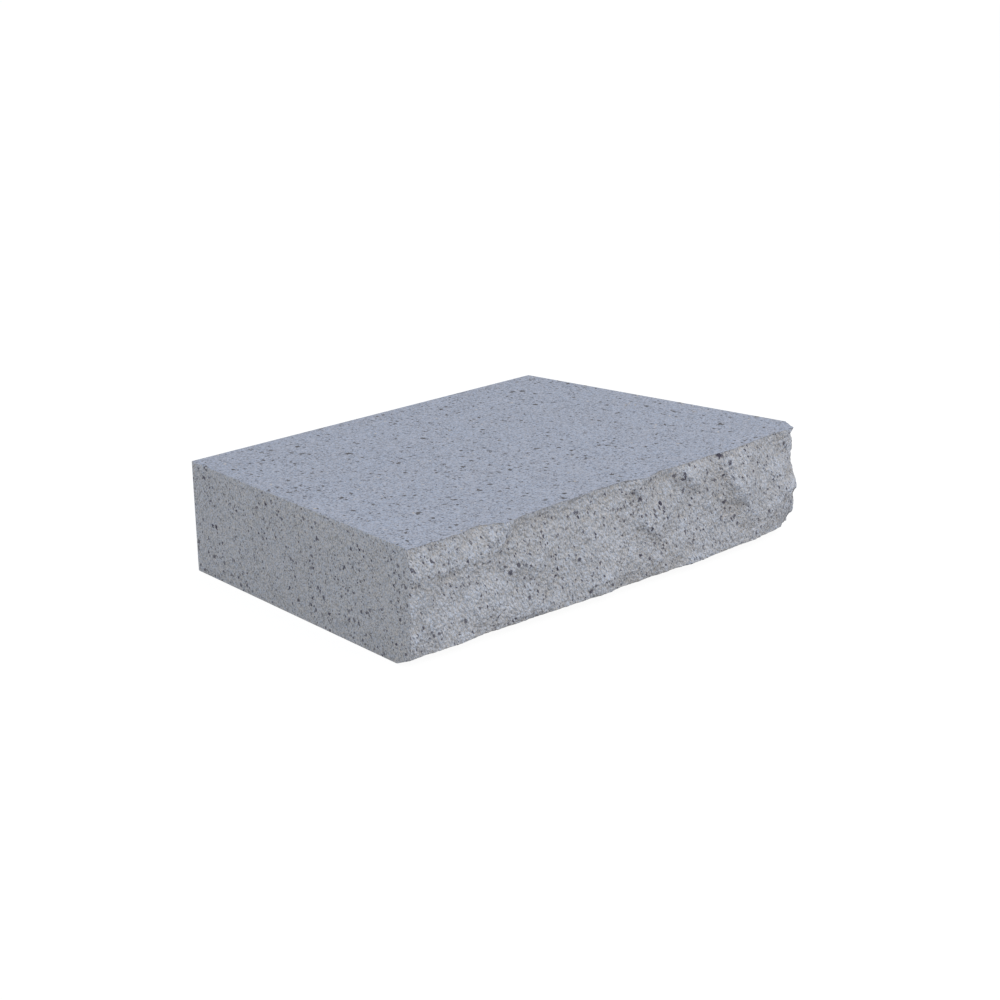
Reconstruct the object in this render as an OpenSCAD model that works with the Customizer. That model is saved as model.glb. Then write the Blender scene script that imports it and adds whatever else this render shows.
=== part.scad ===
// Retaining wall cap: one solid precast concrete block, laid as the top course of a garden wall.
// Its face is split off, so it is rough rock; every other face is smooth from the mould.
// Millimetres, +Z up. The split face looks along -Y and the straight back edge along +Y.
// The origin is on the underside, on the block's middle line, halfway from the back to the split face.

/* [Block] */
// Width of the top along the split face, corner to corner
front_w = 446; // [360:1:600]
// Width of the top along the back edge
back_w = 374; // [300:1:560]
// Full depth of the top, from the back edge to the proudest plane of the split face
depth = 278; // [200:1:360]
// Height
height = 89; // [60:1:120]
// How far each side draws in from the top to the underside
side_draft = 3; // [0:0.5:6]

/* [Split face] */
// How far the top of the split face lies back from the full depth, between its flakes and knobs
face_dip = 4.5; // [2:0.5:8]
// How much further back it lies at the foot, which is broken off at a slope
foot_setback = 17; // [4:0.5:24]
// Height of the broken foot
foot_height = 6.5; // [4:0.5:16]
// Rise and fall of the broad swells
swell = 0.8; // [0:0.1:4]
// Length of one broad swell
swell_pitch = 62; // [40:1:100]
// Rise and fall of the broken lumps
lump = 1.1; // [0:0.1:3]
// Length of one broken lump
lump_pitch = 24; // [16:1:36]
// Rise and fall of the coarse grit
grit = 0.8; // [0:0.1:1.5]
// Length of one piece of coarse grit
grit_pitch = 10; // [8:0.5:16]
// Slope of the lumps across the face, in degrees
lump_slope = 35; // [0:1:60]
// Edge length of the facets that the rock face is made of
facet = 4; // [3.8:0.1:8]

/* [Hidden] */

// Flakes that broke out of the split face. Each row: place along the face from -1 at the left side
// to 1 at the right, place up the face from 0 at the foot to 1 at the top, reach to the left, to the
// right, downwards and upwards, depth (below zero is a knob that stands proud), and slant in degrees.
flakes = [
    // Ledge at the left, the slanted step up to the arris, and the proud arris beyond it
    [-0.92, 0.77, 30, 46,  6, 20, -4.0,  -3],
    [-0.60, 0.84, 12, 20,  6, 14, -4.0,  45],
    [-0.58, 1.00,  6, 24,  9, 20, -4.5,   0],
    [-0.40, 1.00, 30, 60,  5, 20, -3.0,   0],
    [-0.68, 1.01, 14,  6, 14, 14,  3.5,   0],
    // Hollows under the arris, which overhangs them
    [-0.84, 0.93, 30, 24, 16,  4,  1.5,   0],
    [-0.20, 0.92, 44, 36, 24,  5,  2.0,   0],
    [ 0.20, 0.92, 16, 20, 24,  5,  2.0,   0],
    // Slanted scarps across the middle
    [-0.48, 0.58, 14, 24,  6, 10, -2.0, -18],
    [ 0.10, 1.00,  8, 20,  6, 20, -3.0,   0],
    [ 0.06, 0.91, 10, 14,  5, 14, -3.5, -40],
    [ 0.11, 0.58, 20, 30,  6, 20, -4.0, -34],
    [ 0.33, 0.88, 18, 22,  6, 18, -4.0, -32],
    // The long ridge towards the right end
    [ 0.60, 0.66, 34, 32, 10, 24, -7.5, -52],
    // Right end: upper corner broken off, ledge, notch, and broken foot
    [ 0.85, 1.00, 24, 12, 30, 16,  3.5,   0],
    [ 1.00, 1.00, 11, 11, 12, 16, 19.0,   0],
    [ 0.93, 1.00,  4,  3,  7, 10, -2.0,   0],
    [ 1.00, 0.68, 18, 18, 22, 20, 12.5,   0],
    [ 1.00, 0.45, 34, 30,  7,  5, -2.0,   0],
    [ 1.00, 0.34, 12, 12,  5,  5,  3.0,   0],
    [ 1.00, 0.28, 18, 14, 24, 22,  2.5,   0],
    [ 1.00, 0.05, 21, 14, 10, 16, 13.5,   0],
    [ 1.00, 0.18, 14, 14,  4,  4, -1.5,   0],
    // Left end: foot broken away
    [-1.00, 0.05,  8,  8,  8,  5,  1.5,   0],
    [-1.00, 0.22, 14, 14,  7,  6, -2.0,   0],
    // Overhangs and waves along the foot
    [ 0.16, 0.22, 26, 25,  7, 12, -3.0,   0],
    [-0.43, 0.14, 20, 20,  5, 10, -3.0,   0],
    [-0.12, 0.20, 14, 20,  5,  8, -2.0,   0],
    [-0.91, 0.07, 10, 10,  8, 14,  1.5,   0],
    [-0.58, 0.07, 30, 14,  8, 14,  2.0,   0],
    [-0.28, 0.07, 10, 10,  8, 14,  1.5,   0],
    [-0.09, 0.07, 10, 14,  8, 14, -2.5,   0],
    [ 0.36, 0.07, 40, 36,  8, 14, -3.5,   0],
    [ 0.82, 0.07, 20, 16,  8, 14,  2.5,   0],
];

// Rock beyond the mould on each side, which the mould's walls then trim off
margin = 2 * facet;
half_front = front_w / 2;
half_back = back_w / 2;
face_y = -depth / 2;
back_y = depth / 2;
columns = ceil((front_w + 2 * margin) / facet);
rows = ceil((height + 2 * margin) / facet);
mid_column = floor(columns / 2);

// A fixed scatter: one number from -1 to 1 for each whole place (i, j) of layer k
function scatter(i, j, k) =
    let (a = (i * i * 7 + i * 131 + j * j * 11 + j * 269 + k * 419 + 40009) % 1009)
    ((a * a + i * 37 + j * 57 + 20011) % 1013) / 506.5 - 1;

function ease(t) = t * t * (3 - 2 * t);

function blend(a, b, t) = a + (b - a) * t;

// Smooth hills and hollows from -1 to 1, one to each unit of u and of v
function hills(u, v, k) =
    let (i = floor(u), j = floor(v), s = ease(u - i), t = ease(v - j))
    blend(blend(scatter(i, j, k), scatter(i + 1, j, k), s),
          blend(scatter(i, j + 1, k), scatter(i + 1, j + 1, k), s), t);

// Depth of one flake at a place on the face: deepest at its centre, and fading to each side by that
// side's own reach, so that a short reach makes a steep edge
function flake_depth(f, x, z) =
    let (dx = x - f[0] * half_front, dz = z - f[1] * height,
         along = dx * cos(f[7]) + dz * sin(f[7]),
         up = dz * cos(f[7]) - dx * sin(f[7]),
         a = along / (along > 0 ? f[3] : f[2]),
         b = up / (up > 0 ? f[5] : f[4]))
    f[6] * exp(-a * a - b * b);

function sum_of(list) = list * [for (i = list) 1];

// Distance from the mould's front plane back to the rock face, at x along it and z up
function setback(x, z) =
    let (u = x * cos(lump_slope) + z * sin(lump_slope), v = z * cos(lump_slope) - x * sin(lump_slope))
    face_dip + foot_setback * max(0, 1 - max(z, 0) / foot_height)
    + swell * hills(u / swell_pitch, 2 * v / swell_pitch, 1)
    + lump * hills(u / lump_pitch, 1.5 * v / lump_pitch, 2)
    + grit * hills(x / grit_pitch, z / grit_pitch, 3)
    + sum_of([for (f = flakes) flake_depth(f, x, z)]);

function column_x(i) = -half_front - margin + i * (front_w + 2 * margin) / columns;
function row_z(j) = -margin + j * (height + 2 * margin) / rows;

// Half width of the top at y, on the straight lines of the two sides
function half_width(y) = half_back + (half_front - half_back) * (back_y - y) / depth;

// The block as the mould shapes it: a trapezoid in plan, its sides drawn in towards the underside
module mould() {
    near_y = face_y - margin;
    function rim(draw, z) = [
        [-half_width(back_y) + draw, back_y, z], [half_width(back_y) - draw, back_y, z],
        [half_width(near_y) - draw, near_y, z], [-half_width(near_y) + draw, near_y, z]];
    walls = [for (i = [0:3]) [(i + 1) % 4, i, i + 4, (i + 1) % 4 + 4]];
    polyhedron(concat(rim(side_draft, 0), rim(0, height)), [[0, 1, 2, 3], each walls, [7, 6, 5, 4]]);
}

// Rock that is larger than the block all round, with the split face on its front
module split_rock() {
    far_y = back_y + margin;
    per_row = columns + 1;
    grid = [for (j = [0:rows]) for (i = [0:columns])
        [column_x(i), face_y + setback(column_x(i), row_z(j)), row_z(j)]];
    far = len(grid);
    far_points = [for (j = [0, rows]) for (i = [0, columns]) [column_x(i), far_y, row_z(j)]];
    function at(i, j) = j * per_row + i;
    front = [for (j = [0:rows - 1]) for (i = [0:columns - 1]) each
        (i + j) % 2 == 0
        ? [[at(i, j), at(i, j + 1), at(i + 1, j + 1)], [at(i, j), at(i + 1, j + 1), at(i + 1, j)]]
        : [[at(i, j), at(i, j + 1), at(i + 1, j)], [at(i + 1, j), at(i, j + 1), at(i + 1, j + 1)]]];
    // Each skirt runs from the rock face back to the far corners, in three fans
    under = [
        [far, each [for (i = [0:mid_column]) at(i, 0)]],
        [far + 1, each [for (i = [mid_column:columns]) at(i, 0)]],
        [far, at(mid_column, 0), far + 1]];
    over = [
        [far + 2, each [for (i = [mid_column:-1:0]) at(i, rows)]],
        [far + 3, each [for (i = [columns:-1:mid_column]) at(i, rows)]],
        [far + 2, far + 3, at(mid_column, rows)]];
    left = [[far, each [for (j = [rows:-1:0]) at(0, j)]], [far, far + 2, at(0, rows)]];
    right = [[far + 1, each [for (j = [0:rows]) at(columns, j)]], [far + 1, at(columns, rows), far + 3]];
    back = [[far, far + 1, far + 3, far + 2]];
    polyhedron(concat(grid, far_points), concat(front, under, over, left, right, back));
}

module wall_cap() {
    color([0.60, 0.62, 0.66])
    intersection() {
        mould();
        split_rock();
    }
}

wall_cap();
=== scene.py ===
"""Retaining wall cap: one solid block of pewter grey concrete with a split face.

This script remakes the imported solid's surface at a finer grain, from the sizes, layers and flakes
that the solid was made from, and gives it the finish of cast and of split concrete. Lengths are in
metres, unless a name ends in MM or mm or a comment says millimetres.
"""
import math

import bmesh
import bpy
import numpy as np
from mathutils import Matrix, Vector


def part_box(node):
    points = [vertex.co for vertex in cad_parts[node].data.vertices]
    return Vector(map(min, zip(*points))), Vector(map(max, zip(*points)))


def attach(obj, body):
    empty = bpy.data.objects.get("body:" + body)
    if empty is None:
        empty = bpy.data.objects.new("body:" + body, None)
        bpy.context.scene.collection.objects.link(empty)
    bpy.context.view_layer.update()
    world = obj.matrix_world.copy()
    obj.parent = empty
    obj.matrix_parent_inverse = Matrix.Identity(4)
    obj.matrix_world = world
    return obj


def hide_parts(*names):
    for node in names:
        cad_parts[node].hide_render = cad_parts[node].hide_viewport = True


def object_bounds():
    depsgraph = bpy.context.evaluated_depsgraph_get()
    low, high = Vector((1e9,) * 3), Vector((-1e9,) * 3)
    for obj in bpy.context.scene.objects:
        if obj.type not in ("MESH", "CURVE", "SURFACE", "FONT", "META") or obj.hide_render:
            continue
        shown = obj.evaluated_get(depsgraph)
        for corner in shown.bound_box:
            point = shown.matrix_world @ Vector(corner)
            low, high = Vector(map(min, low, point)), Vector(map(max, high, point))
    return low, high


# One millimetre
MM = 0.001

# ---------------------------------------------------------------------------------------------
# The block
# ---------------------------------------------------------------------------------------------
# Width along the split face and along the back, depth, and how far each side draws in to the underside
FRONT_W = 446 * MM
BACK_W = 374 * MM
DEPTH = 278 * MM
SIDE_DRAFT = 3 * MM
# How far the split face lies back at the top, how much further at the foot, and height of the foot
FACE_DIP = 4.5 * MM
FOOT_SETBACK = 17 * MM
FOOT_HEIGHT = 6.5 * MM

# Layers of the broken surface: rise and fall, length of one piece, squeeze across, layer number
SWELL = (0.8 * MM, 62 * MM, 2.0, 1)
LUMP = (1.1 * MM, 24 * MM, 1.5, 2)
GRIT = (0.8 * MM, 10 * MM, 1.0, 3)
# Slope of the swells and lumps across the face, in degrees
LUMP_SLOPE = 35
# Finer layers, which the solid's facets are too coarse for: sand is hills and hollows, pebbles and grit
# stones are rounded grains that stand proud, and sockets are the dents that such grains left
SAND = (0.25 * MM, 2.4 * MM, 1.0, 5)
PEBBLE = (0.3 * MM, 5.2 * MM, 1.0, 6)
GRIT_STONE = (0.35 * MM, 2.6 * MM, 1.0, 10)
SOCKET = (0.32 * MM, 6.5 * MM, 1.0, 20)
# Depth below the top arris within which the finer layers fade, and the share of them that is left there
CALM_DEPTH, CALM_SHARE = 5 * MM, 0.15
# Undercut right below the top arris, the depths over which it ends and begins, where it fades out
# before the broken right corner, and the length over which it does
UNDERCUT, UNDERCUT_END, UNDERCUT_START = 1.7 * MM, 3.0 * MM, 1.2 * MM
FADED_AT, FADE_LENGTH = 195 * MM, 15 * MM
# Layers that make the flakes' edges wander
RAGGED = (1.6 * MM, 7 * MM, 1.0, 13)
RAGGED_FINE = (0.8 * MM, 3 * MM, 1.0, 16)
# Of the rounded grains, in squares of their layer: how far a centre strays from its square's, the mean
# radius, and how far a radius strays from it
CENTRE_STRAYS, GRAIN_RADIUS, RADIUS_STRAYS = 0.35, 0.55, 0.22

# Flakes that broke out of the face: place along from -1 at the left to 1 at the right, place up from 0
# at the foot to 1 at the top, reach to the left, to the right, downwards and upwards and depth (below
# zero is a proud knob), all five in millimetres, and slant in degrees. The two that are marked soft
# reach 2 mm and 1 mm less in the solid.
FLAKES = [
    # Ledge at the left, the slanted step up to the arris, and the proud arris beyond it
    (-0.92, 0.77, 30, 46, 6, 20, -4.0, -3),
    (-0.60, 0.84, 12, 20, 6, 14, -4.0, 45),
    (-0.58, 1.00, 6, 24, 9, 20, -4.5, 0),
    (-0.40, 1.00, 30, 60, 7, 20, -3.0, 0),  # soft
    (-0.68, 1.01, 14, 6, 14, 14, 3.5, 0),
    # Hollows under the arris, which overhangs them
    (-0.84, 0.93, 30, 24, 16, 4, 1.5, 0),
    (-0.20, 0.92, 44, 36, 24, 6, 2.0, 0),  # soft
    (0.20, 0.92, 16, 20, 24, 5, 2.0, 0),
    # Slanted scarps across the middle
    (-0.48, 0.58, 14, 24, 6, 10, -2.0, -18),
    (0.10, 1.00, 8, 20, 6, 20, -3.0, 0),
    (0.06, 0.91, 10, 14, 5, 14, -3.5, -40),
    (0.11, 0.58, 20, 30, 6, 20, -4.0, -34),
    (0.33, 0.88, 18, 22, 6, 18, -4.0, -32),
    # The long ridge towards the right end
    (0.60, 0.66, 34, 32, 10, 24, -7.5, -52),
    # Right end: upper corner broken off, ledge, notch, and broken foot
    (0.85, 1.00, 24, 12, 30, 16, 3.5, 0),
    (1.00, 1.00, 11, 11, 12, 16, 19.0, 0),
    (0.93, 1.00, 4, 3, 7, 10, -2.0, 0),
    (1.00, 0.68, 18, 18, 22, 20, 12.5, 0),
    (1.00, 0.45, 34, 30, 7, 5, -2.0, 0),
    (1.00, 0.34, 12, 12, 5, 5, 3.0, 0),
    (1.00, 0.28, 18, 14, 24, 22, 2.5, 0),
    (1.00, 0.05, 21, 14, 10, 16, 13.5, 0),
    (1.00, 0.18, 14, 14, 4, 4, -1.5, 0),
    # Left end: foot broken away
    (-1.00, 0.05, 8, 8, 8, 5, 1.5, 0),
    (-1.00, 0.22, 14, 14, 7, 6, -2.0, 0),
    # Overhangs and waves along the foot
    (0.16, 0.22, 26, 25, 7, 12, -3.0, 0),
    (-0.43, 0.14, 20, 20, 5, 10, -3.0, 0),
    (-0.12, 0.20, 14, 20, 5, 8, -2.0, 0),
    (-0.91, 0.07, 10, 10, 8, 14, 1.5, 0),
    (-0.58, 0.07, 30, 14, 8, 14, 2.0, 0),
    (-0.28, 0.07, 10, 10, 8, 14, 1.5, 0),
    (-0.09, 0.07, 10, 14, 8, 14, -2.5, 0),
    (0.36, 0.07, 40, 36, 8, 14, -3.5, 0),
    (0.82, 0.07, 20, 16, 8, 14, 2.5, 0),
]

# Large dark stones that show in the rock: place along from the middle, place up from the underside,
# half length and half height, all in millimetres, and slant in degrees
STONES = [
    (-212, 60, 1.4, 1.4, 0), (-200, 18, 1.4, 1.0, 0), (-192, 20, 2.0, 1.2, -15), (-176, 78, 1.4, 1.2, 0),
    (-160, 79, 1.0, 2.2, 20), (-165, 22, 1.4, 2.2, 10), (-151, 28, 1.5, 1.2, 0), (-144, 61, 1.6, 1.4, 0),
    (-130, 78, 1.2, 1.8, 20), (-132, 66, 2.2, 1.4, 30), (-124, 71, 2.0, 1.4, 40), (-126, 53, 1.4, 1.0, 0),
    (-121, 47, 2.3, 2.6, 30), (-133, 16, 1.0, 2.0, 0), (-102, 24, 1.8, 1.6, 0), (-76, 78, 1.2, 2.2, 10),
    (-78, 49, 1.5, 1.1, -30), (-72, 33, 1.2, 1.4, 0), (-50, 76, 3.2, 1.4, -20), (-47, 39, 1.8, 1.8, 20),
    (-34, 81, 1.4, 1.2, 0), (-36, 13, 2.4, 1.8, -20), (-13, 12, 1.4, 1.0, 0), (2, 58, 1.6, 1.6, 0),
    (10, 78, 2.0, 1.2, -30), (17, 72, 2.4, 1.2, -45), (30, 22, 1.6, 1.4, 0), (46, 59, 2.2, 1.4, -30),
    (58, 81, 2.0, 1.6, 0), (67, 77, 2.0, 1.4, -20), (66, 47, 1.4, 2.0, 0), (61, 25, 1.4, 1.2, 0),
    (96, 76, 1.6, 1.4, 0), (82, 24, 1.8, 1.2, -20), (98, 62, 2.4, 1.2, -35), (106, 68, 2.8, 1.4, -30),
    (121, 79, 2.2, 2.0, 0), (120, 47, 2.0, 2.0, 0), (115, 15, 1.0, 2.0, 0), (133, 33, 2.2, 1.4, 0),
    (136, 26, 1.8, 1.6, 0), (167, 16, 1.6, 1.4, 0), (176, 27, 1.8, 1.8, 0), (198, 78, 1.6, 1.6, 0),
]

# Nests where the small dark stones lie closer together and the paste is browner, set on the rock's
# scarps, hollows and foot: partly stones that gather there, partly painted shade. Below zero they are
# bare places where the stones lie wider apart and the paste is lighter. Columns: place along from the
# middle, place up from the underside, reach along and reach up, all in millimetres, slant in degrees,
# how much closer, and how much browner
NESTS = [
    (40, 6, 34, 4, 0, 0.8, 0.48), (112, 63, 12, 22, 35, 0.6, 0.36), (138, 33, 20, 8, -35, 0.6, 0.36),
    (36, 18, 34, 10, 0, 0.8, 0.48), (-104, 20, 16, 10, 0, 0.3, 0.18), (13, 72, 14, 7, -45, 0.5, 0.3),
    (-107, 51, 14, 6, -30, 0.4, 0.24), (-37, 22, 8, 6, 0, 0.5, 0.3), (38, 54, 14, 12, 0, 0.6, 0.36),
    (-99, 61, 14, 12, 0, 0.6, 0.36), (143, 68, 16, 14, 0, 0.6, 0.36), (-154, 71, 20, 5, 0, 0.3, 0.18),
    (200, 44, 8, 10, 0, 0.4, 0.24),
    # Strips right below the arris: two bare of small stones, and one pale, which is a painted light where
    # the overhanging arris shades the rock
    (-62, 86, 56, 5, 0, -1.4, 0), (45, 84, 16, 4, 0, -1.2, 0), (-50, 83, 50, 3, 0, 0, -0.6),
    # Bare and lighter places
    (-140, 62, 20, 6, 35, -0.5, -0.3), (28, 37, 14, 5, -35, -0.5, -0.3), (77, 65, 8, 5, 0, -0.4, -0.24),
    (-46, 31, 12, 7, 0, -0.6, -0.36), (-10, 51, 10, 7, 0, -0.5, -0.3), (94, 42, 12, 8, 0, -0.7, -0.42),
    (95, 18, 8, 10, 0, -0.7, -0.42), (184, 62, 14, 10, 30, -0.3, -0.18),
    (-168, 32, 54, 20, 0, -0.8, -0.48),
]

# Round of the moulded arrises, and the steps round it
ARRIS_ROUND = 0.8 * MM
ROUND_STEPS = 3
# Even steps of the rock face along and up, and of the plain faces along and up
ROCK_ALONG, ROCK_UP = 672, 132
PLAIN_ALONG, PLAIN_UP = 12, 4

# How many steps away a point's neighbours lie, when it is told whether it is proud or hollow, which
# sets the painted highlight on the rock's proud parts and the painted shade in its hollows
PROUD_REACH = 7
# Depth that a point far from every large stone has in the nearest one, in millimetres
FAR_OUTSIDE_MM = -3.0
# Points closer together than this are one
SEAM = 0.005 * MM

# Parts of the surface, which are also its materials
TOP, MOULDED, ROCK = 0, 1, 2

# ---------------------------------------------------------------------------------------------
# View and light
# ---------------------------------------------------------------------------------------------
# Where the camera stands, seen from what it aims at, and that place seen from the block's middle
AZIMUTH = math.radians(-46.0)
ELEVATION = math.radians(17.03)
DISTANCE = 1.909
AIM = Vector((4.1, -2.9, 2.0)) * MM
LENS_MM = 87.9
SENSOR_MM = 36.0
# The floor: how far it reaches from the middle, its colour for the light that it throws on the block,
# and where it is seen, the colour that takes the block's shadow and the glow that is added to it
FLOOR_REACH = 40.0
FLOOR_COLOUR = (0.37, 0.36, 0.35, 1.0)
FLOOR_SHADED = (0.09, 0.087, 0.083, 1.0)
FLOOR_GLOW = 0.95
WHITE = (1.0, 1.0, 1.0, 1.0)
# Even light: its colour from the level of the floor and from high up, and the height, from 0 for level
# to 1 for straight up, from which on it has the second
SKY_LOW, SKY_HIGH = (0.97, 0.97, 0.96, 1.0), (0.64, 0.73, 0.88, 1.0)
SKY_RISE = 0.9
# The lamp: its place from the block's middle, width and watts
KEY_PLACE = Vector((0.5, -1.9, 2.0))
KEY_WIDTH = 1.6
KEY_WATTS = 22.0


# ---------------------------------------------------------------------------------------------
# The broken surface
# ---------------------------------------------------------------------------------------------
def scatter(i, j, layer):
    """One number from -1 to 1 for each whole place (i, j) of a layer, and always the same ones:
    a square of the place, folded by 1009, is squared and folded again by 1013."""
    a = (i * i * 7 + i * 131 + j * j * 11 + j * 269 + layer * 419 + 40009) % 1009
    return ((a * a + i * 37 + j * 57 + 20011) % 1013) / 506.5 - 1


def hills(u, v, layer):
    """Smooth hills and hollows from -1 to 1: the scatter at the four places round (u, v), blended
    by the curve 3t^2 - 2t^3 each way."""
    i, j = np.floor(u), np.floor(v)
    s, t = u - i, v - j
    s, t = s * s * (3 - 2 * s), t * t * (3 - 2 * t)
    near = scatter(i, j, layer) * (1 - s) + scatter(i + 1, j, layer) * s
    far = scatter(i, j + 1, layer) * (1 - s) + scatter(i + 1, j + 1, layer) * s
    return near * (1 - t) + far * t


def grains(u, v, layer):
    """Rounded grains from 0 to 1, one to each unit square: 1 - (distance / radius)^2 inside the grain
    that stands highest, and 0 between grains. Centre and radius stray by the scatter."""
    square_i, square_j = np.floor(u), np.floor(v)
    highest = np.zeros_like(u)
    for step_i in (-1, 0, 1):
        for step_j in (-1, 0, 1):
            i, j = square_i + step_i, square_j + step_j
            from_u = u - i - 0.5 - CENTRE_STRAYS * scatter(i, j, layer)
            from_v = v - j - 0.5 - CENTRE_STRAYS * scatter(i, j, layer + 1)
            radius = GRAIN_RADIUS + RADIUS_STRAYS * scatter(i, j, layer + 2)
            highest = np.maximum(highest, 1 - (from_u**2 + from_v**2) / radius**2)
    return highest


def layer_height(layer, u, v):
    """Rise and fall of one layer at (u, v): its rise times its hills, which are a pitch long along u,
    and a pitch over the squeeze along v."""
    rise, pitch, squeeze, number = layer
    return rise * hills(u / pitch, squeeze * v / pitch, number)


def grain_height(layer, u, v):
    """How far the grains of one layer stand proud at (u, v), less half their height, which is close
    to their mean, so that the layer hardly moves the face as a whole."""
    rise, pitch, squeeze, number = layer
    return rise * (grains(u / pitch, squeeze * v / pitch, number) - 0.5)


def turned(x, z, slant):
    """Distances along and up once the axes are turned by a slant in degrees: x cos + z sin, and
    z cos - x sin."""
    c, s = math.cos(math.radians(slant)), math.sin(math.radians(slant))
    return x * c + z * s, z * c - x * s


def flake_depth(flake, x, z, height):
    """Depth of one flake, turned by its slant: its depth times exp(-(a^2 + b^2)), where a and b are
    the distances along and up, each over the flake's reach on that side."""
    along_at, up_at, left, right, below, above, depth, slant = flake
    along, up = turned(x - along_at * FRONT_W / 2, z - up_at * height, slant)
    a = along / (np.where(along > 0, right, left) * MM)
    b = up / (np.where(up > 0, above, below) * MM)
    return depth * MM * np.exp(-a * a - b * b)


def foot_slope(z):
    """How far the broken foot lies back at z up: a straight slope from its own height down."""
    return FOOT_SETBACK * np.clip(1 - z / FOOT_HEIGHT, 0, 1)


def fine_relief(x, z, u, v, height):
    """How far the finer layers move the rock back. They fade in a straight line to their small share
    as they near the top arris, so that it stays crisp."""
    relief = layer_height(SAND, x, z) - grain_height(PEBBLE, u, v) - grain_height(GRIT_STONE, x, z)
    relief = relief + grain_height(SOCKET, v, u)
    return relief * np.clip((height - z) / CALM_DEPTH, CALM_SHARE, 1)


def undercut(x, z, height):
    """How far the undercut moves the rock back: at a depth d below the top arris, its own size times
    exp(-d / end) - exp(-d / start), faded out in a straight line before the right corner."""
    below = np.clip(height - z, 0, None)
    hollow = np.exp(-below / UNDERCUT_END) - np.exp(-below / UNDERCUT_START)
    return UNDERCUT * hollow * np.clip((FADED_AT - x) / FADE_LENGTH, 0, 1)


def rock_y(x, z, height):
    """Where the rock face lies at x along it and z up: the front plane of the full depth, moved back
    by the dip, the broken foot, each layer, the undercut and each flake. The flakes are read at a
    place that two more layers push about, which makes their edges ragged."""
    u, v = turned(x, z, LUMP_SLOPE)
    back = FACE_DIP + foot_slope(z) + layer_height(SWELL, u, v) + layer_height(LUMP, u, v)
    back = back + layer_height(GRIT, x, z) + fine_relief(x, z, u, v, height) + undercut(x, z, height)
    ragged_x = x + layer_height(RAGGED, u, v) + layer_height(RAGGED_FINE, u, v)
    ragged_z = z + layer_height(RAGGED, v, u) + layer_height(RAGGED_FINE, v, u)
    for flake in FLAKES:
        back = back + flake_depth(flake, ragged_x, ragged_z, height)
    return -DEPTH / 2 + back


def half_width(y, z, height):
    """Half width of the block at y and z: straight sides, drawn in towards the underside."""
    share = (DEPTH / 2 - y) / DEPTH
    return BACK_W / 2 + (FRONT_W - BACK_W) / 2 * share - SIDE_DRAFT * (1 - z / height)


def block_points(a, b, c, height):
    """Points of the block for a from -1 at the left side to 1 at the right, b from 0 at the back
    to 1 at the rock face and c from 0 at the underside to 1 at the top. x and y of the rock face
    depend on each other, so they are found in turn, eight times over."""
    z = c * height
    y = np.full_like(z, -DEPTH / 2)
    for _ in range(8):
        x = a * half_width(y, z, height)
        y = rock_y(x, z, height)
    y = DEPTH / 2 + b * (y - DEPTH / 2)
    return np.stack([a * half_width(y, z, height), y, z], axis=-1)


def round_arrises(points, height):
    """Rounds the moulded arrises. Near one, a point's depths into the round from the side, the back
    and the top or underside make a vector, which is shortened until its length is its largest part:
    that turns the square corner into a round one. The broken arris is left as it is."""
    x, y, z = points[:, 0], points[:, 1], points[:, 2]
    to_side = half_width(y, z, height) - np.abs(x)
    to_back = DEPTH / 2 - y
    to_end = np.minimum(z, height - z)
    into = np.clip(ARRIS_ROUND - np.stack([to_side, to_back, to_end], axis=-1), 0, None)
    length = np.linalg.norm(into, axis=-1)
    share = np.divide(into.max(axis=-1), length, out=np.ones_like(length), where=length > 0)
    pull = into * (1 - share)[:, None]
    outward = np.stack([np.sign(x), np.ones_like(y), np.where(z > height / 2, 1, -1)], axis=-1)
    return points - pull * outward


def steps(count, length):
    """Shares from 0 to 1 in even steps, with the short steps of a round at each end."""
    r = ARRIS_ROUND / length
    inner = np.linspace(r, 1 - r, count + 1)
    ends = r * np.arange(ROUND_STEPS) / ROUND_STEPS
    return np.concatenate([ends, inner, 1 - ends[::-1]])


def every(count, coarse):
    """Which of the fine steps the plain faces keep: all of a round's, and a few of the even ones."""
    even = ROUND_STEPS + np.round(np.linspace(0, count, coarse + 1)).astype(int)
    ends = np.arange(ROUND_STEPS)
    return np.concatenate([ends, even, even[-1] + 1 + ends])


def in_round(count):
    """Whether each of a row's pieces belongs to the round at either end."""
    piece = np.arange(count)
    return (piece < ROUND_STEPS) | (piece >= count - ROUND_STEPS)


def grid_faces(n):
    """Triangles over a grid of point numbers, two for each piece."""
    p, q, r, s = n[:-1, :-1], n[:-1, 1:], n[1:, 1:], n[1:, :-1]
    halves = [np.stack([p, q, r], -1), np.stack([p, r, s], -1)]
    return np.concatenate([half.reshape(-1, 3) for half in halves])


def fan_faces(fine, coarse, kept):
    """Triangles between a row of many points and a row of few, where kept says which of the many lie
    opposite the few: each piece of the many joins the nearer of the two few beside it, and one more
    triangle closes each piece of the few."""
    piece = np.arange(len(fine) - 1)
    beside = np.searchsorted(kept, piece, side="right") - 1
    middles = (kept[:-1] + kept[1:]) // 2
    near = coarse[np.where(piece < middles[beside], beside, beside + 1)]
    return np.concatenate([np.stack([fine[:-1], fine[1:], near], -1),
                           np.stack([fine[middles], coarse[1:], coarse[:-1]], -1)])


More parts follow.
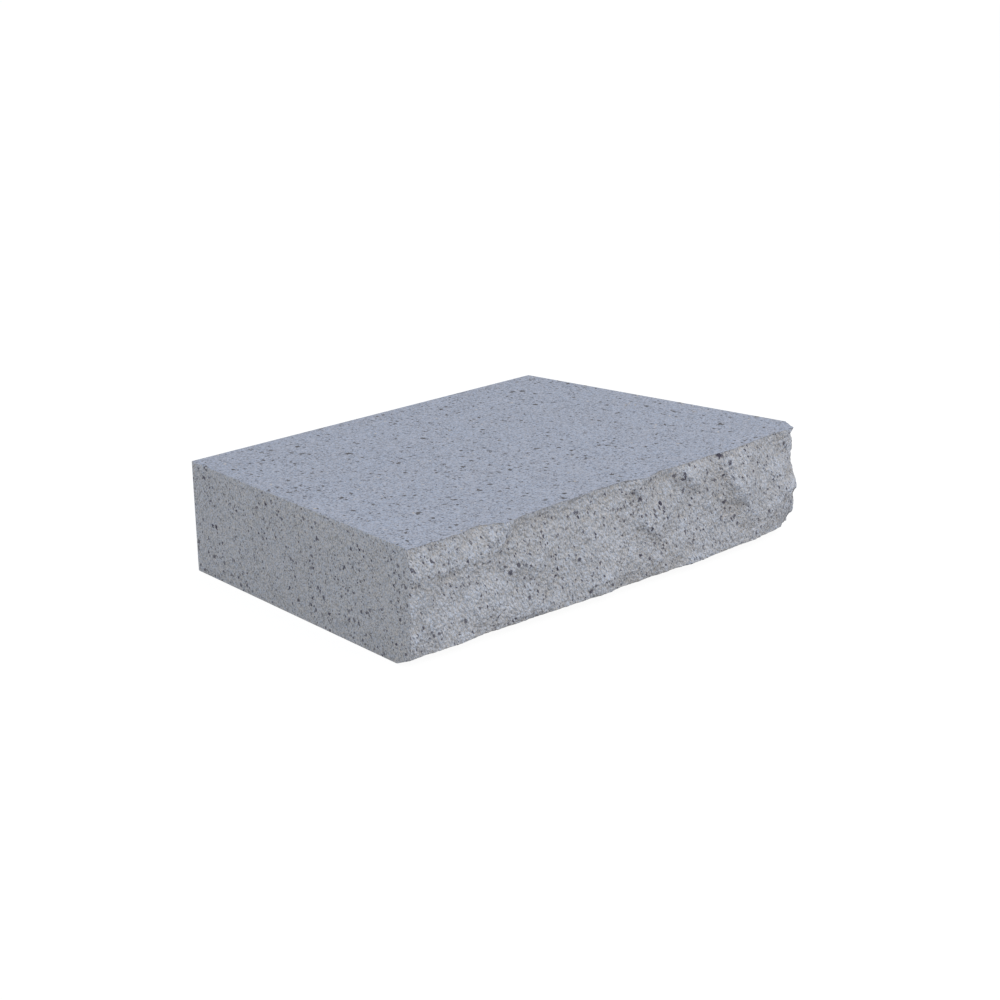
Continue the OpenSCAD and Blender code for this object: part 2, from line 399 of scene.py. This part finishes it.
def plain_face(start, shares, kept, points_at):
    """One moulded face that reaches from the rock face to the back: a fine row of points on the broken
    arris, then rows of few points through the round at the back. Point numbers begin at start.
    Returns points, triangles, and whether each triangle is in a round."""
    few = shares[kept]
    to_back = ARRIS_ROUND / DEPTH * np.arange(ROUND_STEPS, -1, -1) / ROUND_STEPS
    rows = [points_at(shares, np.ones_like(shares))]
    rows += [points_at(few, np.full_like(few, b)) for b in to_back]
    arris = start + np.arange(len(shares))
    rest = start + len(shares) + np.arange(len(to_back) * len(few)).reshape(len(to_back), -1)
    body, back_round = fan_faces(arris, rest[0], kept), grid_faces(rest)
    rounded = [in_round(len(shares) - 1), in_round(len(few) - 1), np.ones(len(back_round), bool)]
    return np.concatenate(rows), np.concatenate([body, back_round]), np.concatenate(rounded)


def mean_round(grid, reach):
    """Mean of a grid over the square of 2 reach + 1 points each way round each point. The grid's edge
    values are repeated beyond it."""
    for axis in (0, 1):
        before_after = [(0, 0), (0, 0)]
        before_after[axis] = (reach + 1, reach)
        total = np.cumsum(np.pad(grid, before_after, mode="edge"), axis=axis)
        first = np.arange(grid.shape[axis])
        grid = (np.take(total, first + 2 * reach + 1, axis) - np.take(total, first, axis)) / (2 * reach + 1)
    return grid


def proudness(y, z):
    """How far each point of the rock stands in front of the mean of its neighbours, in millimetres.
    The broken foot counts as hollow all over, so that it takes the painted shade of the hollows."""
    relief = y - foot_slope(z)
    return (mean_round(mean_round(relief, PROUD_REACH), PROUD_REACH) - relief - foot_slope(z)) / MM


def stone_depth(x, z):
    """How far inside the nearest large stone each point lies, in millimetres: for an ellipse, its
    short half times 1 less the distance over the ellipse's own. It is below zero outside."""
    inside = np.full_like(x, FAR_OUTSIDE_MM)
    for along_at, up_at, half_length, half_height, slant in STONES:
        along, up = turned(x / MM - along_at, z / MM - up_at, slant)
        out = np.hypot(along / half_length, up / half_height)
        inside = np.maximum(inside, (1 - out) * min(half_length, half_height))
    return inside


def nests(x, z):
    """How much closer the small stones lie, kept from -1.5 to 1, and how much painted shade browns the
    paste, which lightens it below zero: each is a sum over the nests of what the nest holds times
    exp(-(a^2 + b^2)), where a and b are the distances along and up, each over its reach."""
    closer, painted_shade = np.zeros_like(x), np.zeros_like(x)
    for along_at, up_at, reach_along, reach_up, slant, close, shade_paint in NESTS:
        along, up = turned(x / MM - along_at, z / MM - up_at, slant)
        a, b = along / reach_along, up / reach_up
        spread = np.exp(-a * a - b * b)
        closer, painted_shade = closer + close * spread, painted_shade + shade_paint * spread
    return np.clip(closer, -1.5, 1), painted_shade


def rock_marks(x, y, z):
    """What the rock's points carry for its finish: proud is its proudness less the painted shade of its
    nests, and sets the painted shade and highlight of its paste; stone is its depth in a large stone,
    and nest is how much closer its small stones lie."""
    closer, painted_shade = nests(x, z)
    return {"proud": proudness(y, z) - painted_shade, "stone": stone_depth(x, z), "nest": closer}


def new_surface(points, faces, parts, smooth, marks):
    """A mesh of triangles, each with its part's material and its shading. The marks are attributes of
    its first points, and are 0 on the others."""
    mesh = bpy.data.meshes.new("wall_cap_surface")
    mesh.from_pydata(points, [], faces)
    mesh.polygons.foreach_set("material_index", parts.astype(np.int32))
    mesh.polygons.foreach_set("use_smooth", smooth)
    for name, mark in marks.items():
        values = np.zeros(len(points), np.float32)
        values[:mark.size] = mark.ravel()
        mesh.attributes.new(name, "FLOAT", "POINT").data.foreach_set("value", values)
    return mesh


def build_block(height):
    """The block's closed surface. The rock face is a fine grid. The top, underside and sides fan out
    from its edges to a few points at the back, and the back is a coarse grid. Every point comes from
    block_points and round_arrises, so the edges of neighbours meet."""
    along, up = steps(ROCK_ALONG, FRONT_W), steps(ROCK_UP, height)
    few_along, few_up = every(ROCK_ALONG, PLAIN_ALONG), every(ROCK_UP, PLAIN_UP)

    def at(a, b, c):
        return block_points(2 * a - 1, b, c, height).reshape(-1, 3)

    points, faces, parts, smooth = [], [], [], []
    count = 0

    def put(new_points, new_faces, part, rounded):
        nonlocal count
        points.append(new_points)
        faces.append(new_faces)
        parts.append(np.full(len(new_faces), part))
        smooth.append(rounded)
        count += len(new_points)

    c, a = np.meshgrid(up, along, indexing="ij")
    rock = grid_faces(np.arange(a.size).reshape(a.shape))
    put(at(a, np.ones_like(a), c), rock, ROCK, np.ones(len(rock), bool))
    marks = rock_marks(*(points[0][:, k].reshape(a.shape) for k in range(3)))
    for shares, kept, points_at, part in [
            (along, few_along, lambda s, b: at(s, b, np.ones_like(s)), TOP),
            (along, few_along, lambda s, b: at(s, b, np.zeros_like(s)), MOULDED),
            (up, few_up, lambda s, b: at(np.zeros_like(s), b, s), MOULDED),
            (up, few_up, lambda s, b: at(np.ones_like(s), b, s), MOULDED)]:
        new_points, new_faces, rounded = plain_face(count, shares, kept, points_at)
        put(new_points, new_faces, part, rounded)
    c, a = np.meshgrid(up[few_up], along[few_along], indexing="ij")
    back = grid_faces(count + np.arange(a.size).reshape(a.shape))
    rounded = in_round(len(few_up) - 1)[:, None] | in_round(len(few_along) - 1)[None, :]
    put(at(a, np.zeros_like(a), c), back, MOULDED, np.tile(rounded.ravel(), 2))

    points, faces, parts, smooth = (np.concatenate(rows) for rows in (points, faces, parts, smooth))
    return new_surface(round_arrises(points, height), faces, parts, smooth, marks)


def close_seams(mesh):
    """Joins the faces along the arrises and turns every face outwards."""
    bm = bmesh.new()
    bm.from_mesh(mesh)
    bmesh.ops.remove_doubles(bm, verts=bm.verts, dist=SEAM)
    bmesh.ops.recalc_face_normals(bm, faces=bm.faces)
    bm.to_mesh(mesh)
    bm.free()


def keep_arris_crisp(mesh):
    """Marks the edges between rock and mould as sharp: those that belong to one rock triangle only."""
    edges = np.empty(len(mesh.loops), np.int32)
    mesh.loops.foreach_get("edge_index", edges)
    parts = np.empty(len(mesh.polygons), np.int32)
    mesh.polygons.foreach_get("material_index", parts)
    rock_sides = np.bincount(edges, weights=np.repeat(parts == ROCK, 3), minlength=len(mesh.edges))
    mesh.edges.foreach_set("use_edge_sharp", rock_sides == 1)


# ---------------------------------------------------------------------------------------------
# Node helpers
# ---------------------------------------------------------------------------------------------
class Nodes:
    """Adds nodes to a tree and joins them, one call for each node."""

    def __init__(self, tree):
        self.tree = tree

    def feed(self, socket, value):
        """Joins a socket to another one, or gives it a plain value."""
        if isinstance(value, bpy.types.NodeSocket):
            self.tree.links.new(value, socket)
        else:
            socket.default_value = value

    def add(self, kind, settings=None, **inputs):
        """A node of that kind. Settings are its own fields. Each input is a value or a socket, under the
        label of the socket that it goes to, or under _ and that socket's number."""
        node = self.tree.nodes.new(kind)
        for name, value in (settings or {}).items():
            setattr(node, name, value)
        for name, value in inputs.items():
            label = int(name[1:]) if name[0] == "_" else name.replace("_", " ")
            self.feed(node.inputs[label], value)
        return node

    def math(self, operation, first, second=0.0, clamp=False):
        """One step of arithmetic."""
        settings = {"operation": operation, "use_clamp": clamp}
        return self.add("ShaderNodeMath", settings, _0=first, _1=second).outputs[0]

    def vector(self, operation, first, **inputs):
        """One step of arithmetic on vectors."""
        return self.add("ShaderNodeVectorMath", {"operation": operation}, _0=first, **inputs).outputs[0]

    def mix(self, share, first, second, blend="MIX"):
        """Two colours mixed by a share."""
        settings = {"data_type": "RGBA", "blend_type": blend}
        return self.add("ShaderNodeMix", settings, _0=share, _6=first, _7=second).outputs[2]

    def ramp(self, value, low, high, to_low=0.0, to_high=1.0, smooth=False):
        """A value carried from one range to another, and kept inside it."""
        settings = {"interpolation_type": "SMOOTHSTEP" if smooth else "LINEAR", "clamp": True}
        node = self.add("ShaderNodeMapRange", settings, _0=value, _1=low, _2=high, _3=to_low, _4=to_high)
        return node.outputs[0]

    def noise(self, vector, scale, **inputs):
        """Smooth noise in space."""
        settings = {"noise_dimensions": "3D"}
        return self.add("ShaderNodeTexNoise", settings, Vector=vector, Scale=scale, **inputs).outputs

    def cells(self, vector, scale, distance="EUCLIDEAN"):
        """Space cut into cells, each round its own centre."""
        settings = {"voronoi_dimensions": "3D", "feature": "F1", "distance": distance}
        return self.add("ShaderNodeTexVoronoi", settings, Vector=vector, Scale=scale).outputs

    def parts_of(self, colour):
        """The three numbers of a colour."""
        return self.add("ShaderNodeSeparateColor", _0=colour).outputs

    def mark(self, name):
        """A number that the surface's points carry."""
        return self.add("ShaderNodeAttribute", {"attribute_name": name}).outputs["Fac"]

    def seen(self):
        """1 for a ray from the camera, or one that gloss or glass sends on, and 0 for other light."""
        rays = self.add("ShaderNodeLightPath").outputs
        sent_on = self.math("MAXIMUM", rays["Is Glossy Ray"], rays["Is Transmission Ray"])
        return self.math("MAXIMUM", rays["Is Camera Ray"], sent_on)


def empty_nodes(owner):
    """The node tree of a material or world, with nothing in it."""
    owner.use_nodes = True
    owner.node_tree.nodes.clear()
    return Nodes(owner.node_tree)


def new_group(name, inputs, outputs):
    """A shader node group with named sockets. Inputs are name: start value, which is None for a
    vector, and outputs are names of numbers. Returns its nodes, its input sockets and its end."""
    group = bpy.data.node_groups.new(name, "ShaderNodeTree")
    for label, value in inputs.items():
        kind = "NodeSocketVector" if value is None else "NodeSocketFloat"
        socket = group.interface.new_socket(label, in_out="INPUT", socket_type=kind)
        if value is not None:
            socket.default_value = value
    for label in outputs:
        group.interface.new_socket(label, in_out="OUTPUT", socket_type="NodeSocketFloat")
    nodes = Nodes(group)
    return nodes, nodes.add("NodeGroupInput").outputs, nodes.add("NodeGroupOutput").inputs


# ---------------------------------------------------------------------------------------------
# Concrete
# ---------------------------------------------------------------------------------------------
# Colours of the stones
SLATE = (0.048, 0.042, 0.066)
BROWN = (0.062, 0.053, 0.048)
CREAM = (0.60, 0.50, 0.38)
# Painted shade and painted highlight: what the paste's colour is multiplied by in the rock's hollows
# and on its proud parts
HOLLOW_PAINTED_SHADE = (0.93, 0.91, 0.88)
PROUD_PAINTED_HIGHLIGHT = (1.07, 1.09, 1.12)
# Roughness of dusty paste and of a stone's face, how much of a stone's smoothness a bright grain of
# sand has, and strength of the sheen
PASTE_ROUGHNESS, STONE_ROUGHNESS = 0.95, 0.7
SAND_SMOOTHNESS = 0.2
SHEEN = 0.25
# Streaks that the break leaves in the rock: their slant away from upright, and how much the pattern is
# squeezed across them and stretched along them
STREAK_SLANT = math.radians(-34)
STREAK_SQUEEZE, STREAK_STRETCH = 0.18, 0.4
# Values between which noise mostly lies, and those between which the clouds are spread
NOISE_LOW, NOISE_HIGH = 0.3, 0.7
CLOUDS_LOW, CLOUDS_HIGH = 0.25, 0.75
# Sand: size of its clouds, number of broad grains and of rough spots to a metre where a fine grain is
# 1 mm, the broad grains' share in the value and in the tint, and how far the clouds move the tint
MM_PER_METRE = 1000.0
CLOUD_MM = 45.0
BROAD_PER_METRE, ROUGH_PER_METRE = 440.0, 700.0
BROAD_VALUE, BROAD_TINT = 0.15, 0.05
TINT_DRIFT = 0.07
# Depth of the fine grains and of the rough spots in the relief, over that of the broad grains
FINE_DENT, ROUGH_DENT = 0.4, 0.8
# How far bright sand lifts the paste, over how far dark sand lowers it
GRAIN_LIFT = 0.35
# Small stones: bends of the outline to one spacing, clusters to a metre, smallest size over the
# largest, softness of the rim over the spacing, and strength of the palest over that of the darkest.
# Each cube of space that is one spacing wide has one place that may hold one.
OUTLINE_BENDS = 2.6
CLUSTERS_PER_METRE = 45.0
SMALLEST_SPECK, SPECK_RIM, PALEST_SPECK = 0.55, 0.05, 0.6
# How far apart in the pattern the small stones of one size and of the next are taken from
SPECK_SHIFT = (0.37, 0.11, 0.23)
# How much a nest changes the share of the small stones
NEST_SWING = 0.8
# Large stones: how far dark and bright sand move their edge outwards, softness of their rim, and
# strength
STONE_FRAY_MM = (-1.3, 0.3)
STONE_RIM_MM, STONE_STRENGTH = 0.15, 0.8


def specks_group():
    """Stones that lie scattered through the concrete and show where the surface cuts them. Each cell
    of space may hold one, and does where its first number is below Share, which Clusters swings up and
    down from place to place. A stone is a cube round its cell's centre, pushed out of shape by noise,
    so that its cuts are angular: it ends where the farthest reach along an axis is Size spacings, or
    less in the cells that hold a smaller one. Tone is one number for each stone."""
    n, inside, end = new_group(
        "Stone specks",
        {"Vector": None, "Spacing": 6.0, "Size": 0.25, "Share": 0.4, "Rough outline": 0.6, "Clusters": 0.8},
        ["Mask", "Tone"])
    per_metre = n.math("DIVIDE", MM_PER_METRE, inside["Spacing"])
    wobble = n.noise(inside["Vector"], n.math("MULTIPLY", per_metre, OUTLINE_BENDS), Detail=1.0)
    centred = n.vector("SUBTRACT", wobble["Color"], _1=(0.5, 0.5, 0.5))
    reach = n.math("MULTIPLY", inside["Rough outline"], n.math("DIVIDE", 1.0, per_metre))
    place = n.vector("ADD", inside["Vector"], _1=n.vector("SCALE", centred, Scale=reach))
    cells = n.cells(place, per_metre, "CHEBYCHEV")
    lots = n.parts_of(cells["Color"])
    gathered = n.noise(cells["Position"], CLUSTERS_PER_METRE, Detail=1.0)[0]
    swing = n.math("MULTIPLY", inside["Clusters"], n.ramp(gathered, NOISE_LOW, NOISE_HIGH, -1.0, 1.0))
    share = n.math("MULTIPLY", inside["Share"], n.math("ADD", swing, 1.0))
    chosen = n.math("LESS_THAN", lots[0], share)
    radius = n.math("MULTIPLY", inside["Size"], n.ramp(lots[1], 0.0, 1.0, SMALLEST_SPECK, 1.0))
    rim = n.math("SUBTRACT", radius, cells["Distance"])
    n.feed(end["Mask"], n.math("MULTIPLY", chosen, n.ramp(rim, 0.0, SPECK_RIM, smooth=True)))
    n.feed(end["Tone"], lots[2])
    return n.tree


def grain_group():
    """Sand in cement paste, as touching grains of two sizes. Each grain has its own Value and Tint
    from 0 to 1, most Values near 1 and a few low, and Tint also drifts a little in clouds. Relief is
    the roundness of the grains, made rough, and Clouds varies slowly about 0.5."""
    n, inside, end = new_group(
        "Sand grain",
        {"Vector": None, "Grain": 1.0, "Cloud": CLOUD_MM},
        ["Value", "Tint", "Relief", "Clouds"])
    fine = n.cells(inside["Vector"], n.math("DIVIDE", MM_PER_METRE, inside["Grain"]))
    broad = n.cells(inside["Vector"], n.math("DIVIDE", BROAD_PER_METRE, inside["Grain"]))
    one, other = n.parts_of(fine["Color"]), n.parts_of(broad["Color"])
    cloud_scale = n.math("DIVIDE", MM_PER_METRE, inside["Cloud"])
    cloud = n.noise(inside["Vector"], cloud_scale, Detail=4.0, Roughness=0.6)
    rough = n.noise(inside["Vector"], n.math("DIVIDE", ROUGH_PER_METRE, inside["Grain"]), Detail=2.0)[0]

    def both_sizes(number, broad_share):
        fine_part = n.math("MULTIPLY", one[number], 1 - broad_share)
        return n.math("ADD", fine_part, n.math("MULTIPLY", other[number], broad_share))

    lack = both_sizes(0, BROAD_VALUE)
    drift = n.ramp(n.parts_of(cloud["Color"])[1], NOISE_LOW, NOISE_HIGH, -TINT_DRIFT, TINT_DRIFT)
    dent = n.math("ADD", n.math("MULTIPLY", fine["Distance"], FINE_DENT), broad["Distance"])
    hollow = n.math("SUBTRACT", dent, n.math("MULTIPLY", rough, ROUGH_DENT))
    n.feed(end["Value"], n.math("SUBTRACT", 1.0, n.math("MULTIPLY", lack, lack)))
    n.feed(end["Tint"], n.math("ADD", both_sizes(1, BROAD_TINT), drift, clamp=True))
    n.feed(end["Relief"], n.math("SUBTRACT", 1.0, hollow))
    n.feed(end["Clouds"], cloud[0])
    return n.tree


# The groups that are built already, by the function that builds each
GROUPS = {}


def place_group(n, make_group, **inputs):
    """One of the shared groups, placed in a material with that material's own values."""
    if make_group not in GROUPS:
        GROUPS[make_group] = make_group()
    return n.add("ShaderNodeGroup", {"node_tree": GROUPS[make_group]}, **inputs).outputs


def paste_colour(n, sand, cool, warm, grain_depth, cloud_depth, broken):
    """Paste between a cool and a warm colour. Its sand darkens it by up to grain_depth, and clouds
    darken and lift it by up to cloud_depth. On rock, painted shade makes the hollows and the broken
    foot darker and browner, and a painted highlight makes the proud parts lighter."""
    fine = n.ramp(sand["Value"], 0.0, 1.0, 1 - grain_depth, 1 + GRAIN_LIFT * grain_depth)
    cloud = n.ramp(sand["Clouds"], CLOUDS_LOW, CLOUDS_HIGH, 1 - cloud_depth, 1 + cloud_depth)
    # Painted shade in the rock's hollows and on its broken foot, and a painted highlight on its proud parts
    painted_shade_and_light = n.mix(n.ramp(n.mark("proud"), -1.0, 1.0, smooth=True), (*HOLLOW_PAINTED_SHADE, 1.0), (*PROUD_PAINTED_HIGHLIGHT, 1.0))
    tinted = n.mix(sand["Tint"], (*cool, 1.0), (*warm, 1.0))
    paste = n.mix(broken, tinted, painted_shade_and_light, blend="MULTIPLY")
    return n.vector("SCALE", paste, Scale=n.math("MULTIPLY", fine, cloud))


def add_specks(n, colour, place, specks, broken):
    """Small stones on a colour, with more of them in the nests of the rock. Returns the new colour and
    the mask of the stones."""
    closer = n.math("ADD", 1.0, n.math("MULTIPLY", n.mark("nest"), NEST_SWING * broken))
    stony = 0.0
    for number, (spacing, size, share, tint, strength) in enumerate(specks, 1):
        moved = n.vector("ADD", place, _1=tuple(number * step for step in SPECK_SHIFT))
        stone = place_group(n, specks_group, Vector=moved, Spacing=spacing, Size=size,
                            Share=n.math("MULTIPLY", closer, share))
        shade = n.ramp(stone["Tone"], 0.0, 1.0, PALEST_SPECK * strength, strength)
        colour = n.mix(n.math("MULTIPLY", stone["Mask"], shade), colour, (*tint, 1.0))
        stony = n.math("MAXIMUM", stony, stone["Mask"])
    return colour, stony


def add_large_stones(n, colour, sand, broken):
    """The rock's large stones on a colour, their edges frayed by the sand. Returns the new colour and
    the mask of the stones."""
    edge = n.math("ADD", n.mark("stone"), n.ramp(sand["Value"], 0.0, 1.0, *STONE_FRAY_MM))
    large = n.ramp(edge, 0.0, STONE_RIM_MM, 0.0, STONE_STRENGTH * broken, smooth=True)
    return n.mix(large, colour, (*SLATE, 1.0)), large


def concrete(name, cool, warm, grain_mm, grain_depth, cloud_depth, bump_mm, broken, specks):
    """Concrete: paste with sand of one grain size, whose relief is bump_mm high, and specks of stone.
    Each of the specks is (spacing in millimetres, size over the spacing, share of the places that
    hold one, colour, strength). Broken is 0 for a moulded face, and 1 for rock, whose pattern is drawn
    out in streaks and which shows painted shade in its hollows and a painted highlight on its proud
    parts, its large stones and its nests."""
    material = bpy.data.materials.new(name)
    n = empty_nodes(material)
    place = n.add("ShaderNodeTexCoord").outputs["Object"]
    streaked = n.add("ShaderNodeMapping", {"vector_type": "TEXTURE"}, Vector=place,
                     Rotation=(0.0, STREAK_SLANT * broken, 0.0),
                     Scale=(1 - STREAK_SQUEEZE * broken, 1.0, 1 + STREAK_STRETCH * broken)).outputs[0]
    sand = place_group(n, grain_group, Vector=streaked, Grain=grain_mm)
    paste = paste_colour(n, sand, cool, warm, grain_depth, cloud_depth, broken)
    speckled, stony = add_specks(n, paste, streaked, specks, broken)
    colour, large = add_large_stones(n, speckled, sand, broken)

    sandy = n.math("MULTIPLY", sand["Value"], SAND_SMOOTHNESS)
    smoothness = n.math("ADD", n.math("MAXIMUM", stony, large), sandy)
    roughness = n.ramp(smoothness, 0.0, 1 + SAND_SMOOTHNESS, PASTE_ROUGHNESS, STONE_ROUGHNESS)
    bump = n.add("ShaderNodeBump", Strength=1.0, Distance=bump_mm * MM, Height=sand["Relief"])
    shader = n.add("ShaderNodeBsdfPrincipled", Base_Color=colour, Roughness=roughness,
                   Specular_IOR_Level=SHEEN, Normal=bump.outputs[0])
    n.add("ShaderNodeOutputMaterial", Surface=shader.outputs[0])
    return material


def skin_top():
    """The smooth top from the mould, with sparse specks. Its blue-grey paste, darker and bluer than the
    sides', is partly the skin's own and partly a painted tint of the bluer light from above.
    """
    return concrete(
        "moulded top", cool=(0.345, 0.373, 0.436), warm=(0.397, 0.385, 0.401), grain_mm=1.1,
        grain_depth=0.50, cloud_depth=0.03, bump_mm=0.15, broken=0.0, specks=[
            (14.0, 0.20, 0.07, BROWN, 1.0),
            (9.0, 0.23, 0.30, BROWN, 0.95),
            (6.0, 0.255, 0.30, BROWN, 0.95),
            (4.0, 0.27, 0.26, BROWN, 0.95),
            (3.0, 0.27, 0.22, BROWN, 0.90),
            (6.0, 0.18, 0.08, CREAM, 0.80)])


def skin_side():
    """The smooth sides, back and underside from the mould: neutral paste with many specks."""
    return concrete(
        "moulded side", cool=(0.468, 0.496, 0.556), warm=(0.553, 0.523, 0.491), grain_mm=0.95,
        grain_depth=0.54, cloud_depth=0.04, bump_mm=0.15, broken=0.0, specks=[
            (12.0, 0.22, 0.08, SLATE, 0.95),
            (7.0, 0.235, 0.46, SLATE, 1.0),
            (4.2, 0.26, 0.38, SLATE, 1.0),
            (3.0, 0.27, 0.34, SLATE, 0.95)])


def split_rock():
    """The broken face: bare sand and stone, lighter than the moulded top."""
    return concrete(
        "split rock", cool=(0.481, 0.510, 0.571), warm=(0.542, 0.512, 0.491), grain_mm=1.05,
        grain_depth=0.42, cloud_depth=0.06, bump_mm=0.8, broken=1.0, specks=[
            (12.0, 0.20, 0.06, SLATE, 0.95),
            (7.0, 0.225, 0.43, SLATE, 0.95),
            (4.2, 0.265, 0.45, SLATE, 0.95),
            (3.0, 0.265, 0.36, SLATE, 0.95)])


# ---------------------------------------------------------------------------------------------
# The set
# ---------------------------------------------------------------------------------------------
def add_object(name, data):
    """Puts a mesh, lamp or camera into the scene."""
    thing = bpy.data.objects.new(name, data)
    bpy.context.scene.collection.objects.link(thing)
    return thing


def turn_towards(thing, direction):
    """Turns a lamp or camera so that it looks in a direction."""
    thing.rotation_mode = "QUATERNION"
    thing.rotation_quaternion = direction.to_track_quat("-Z", "Y")


def make_camera(middle):
    """The camera, on the line that AZIMUTH and ELEVATION give, aimed close to the block's middle."""
    data = bpy.data.cameras.new("camera")
    data.sensor_width = SENSOR_MM
    data.lens = LENS_MM
    camera = add_object("camera", data)
    back = Vector((math.sin(AZIMUTH) * math.cos(ELEVATION),
                   -math.cos(AZIMUTH) * math.cos(ELEVATION), math.sin(ELEVATION)))
    camera.location = middle + AIM + back * DISTANCE
    turn_towards(camera, -back)
    bpy.context.scene.camera = camera


def make_floor():
    """A wide pale floor. It shows near white, and keeps a faint share of the block's shadow."""
    mesh = bpy.data.meshes.new("floor")
    corners = [(-FLOOR_REACH, -FLOOR_REACH, 0), (FLOOR_REACH, -FLOOR_REACH, 0),
               (FLOOR_REACH, FLOOR_REACH, 0), (-FLOOR_REACH, FLOOR_REACH, 0)]
    mesh.from_pydata(corners, [], [(0, 1, 2, 3)])
    material = bpy.data.materials.new("pale floor")
    n = empty_nodes(material)
    pale = n.add("ShaderNodeBsdfDiffuse", Color=FLOOR_COLOUR)
    faint = n.add("ShaderNodeBsdfDiffuse", Color=FLOOR_SHADED)
    white = n.add("ShaderNodeEmission", Color=WHITE, Strength=FLOOR_GLOW)
    shown = n.add("ShaderNodeAddShader", _0=faint.outputs[0], _1=white.outputs[0])
    both = n.add("ShaderNodeMixShader", _0=n.seen(), _1=pale.outputs[0], _2=shown.outputs[0])
    n.add("ShaderNodeOutputMaterial", Surface=both.outputs[0])
    mesh.materials.append(material)
    add_object("floor", mesh)


def make_world():
    """Even light from all round, a little dimmer and cooler from above; it shows white."""
    world = bpy.data.worlds.new("studio")
    bpy.context.scene.world = world
    n = empty_nodes(world)
    direction = n.add("ShaderNodeTexCoord").outputs["Generated"]
    up = n.add("ShaderNodeSeparateXYZ", _0=direction).outputs[2]
    sky = n.mix(n.ramp(up, 0.0, SKY_RISE, smooth=True), SKY_LOW, SKY_HIGH)
    light = n.add("ShaderNodeBackground", Color=n.mix(n.seen(), sky, WHITE), Strength=1.0)
    n.add("ShaderNodeOutputWorld", Surface=light.outputs[0])


def make_key(middle):
    """One wide soft lamp in front of the split face and above it."""
    data = bpy.data.lights.new("key", "AREA")
    data.shape = "DISK"
    data.size = KEY_WIDTH
    data.energy = KEY_WATTS
    lamp = add_object("key", data)
    lamp.location = middle + KEY_PLACE
    turn_towards(lamp, middle - lamp.location)


# ---------------------------------------------------------------------------------------------
# The block in its frame
# ---------------------------------------------------------------------------------------------
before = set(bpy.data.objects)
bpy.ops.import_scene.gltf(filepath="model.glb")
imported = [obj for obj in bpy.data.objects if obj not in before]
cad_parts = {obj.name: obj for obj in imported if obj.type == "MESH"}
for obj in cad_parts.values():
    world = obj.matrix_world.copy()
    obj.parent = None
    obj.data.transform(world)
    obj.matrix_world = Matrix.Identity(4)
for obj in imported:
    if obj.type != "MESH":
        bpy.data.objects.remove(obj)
cad_lo, cad_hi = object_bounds()
node_lo, node_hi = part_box("wall_cap")

surface = build_block(node_hi.z - node_lo.z)
close_seams(surface)
for make in (skin_top, skin_side, split_rock):
    surface.materials.append(make())
keep_arris_crisp(surface)
block = add_object("wall_cap_finish", surface)
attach(block, "root")
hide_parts("wall_cap")

cad_middle = (cad_lo + cad_hi) / 2
make_floor()
make_world()
make_key(cad_middle)
make_camera(cad_middle)
bpy.context.scene.view_settings.view_transform = "Standard"
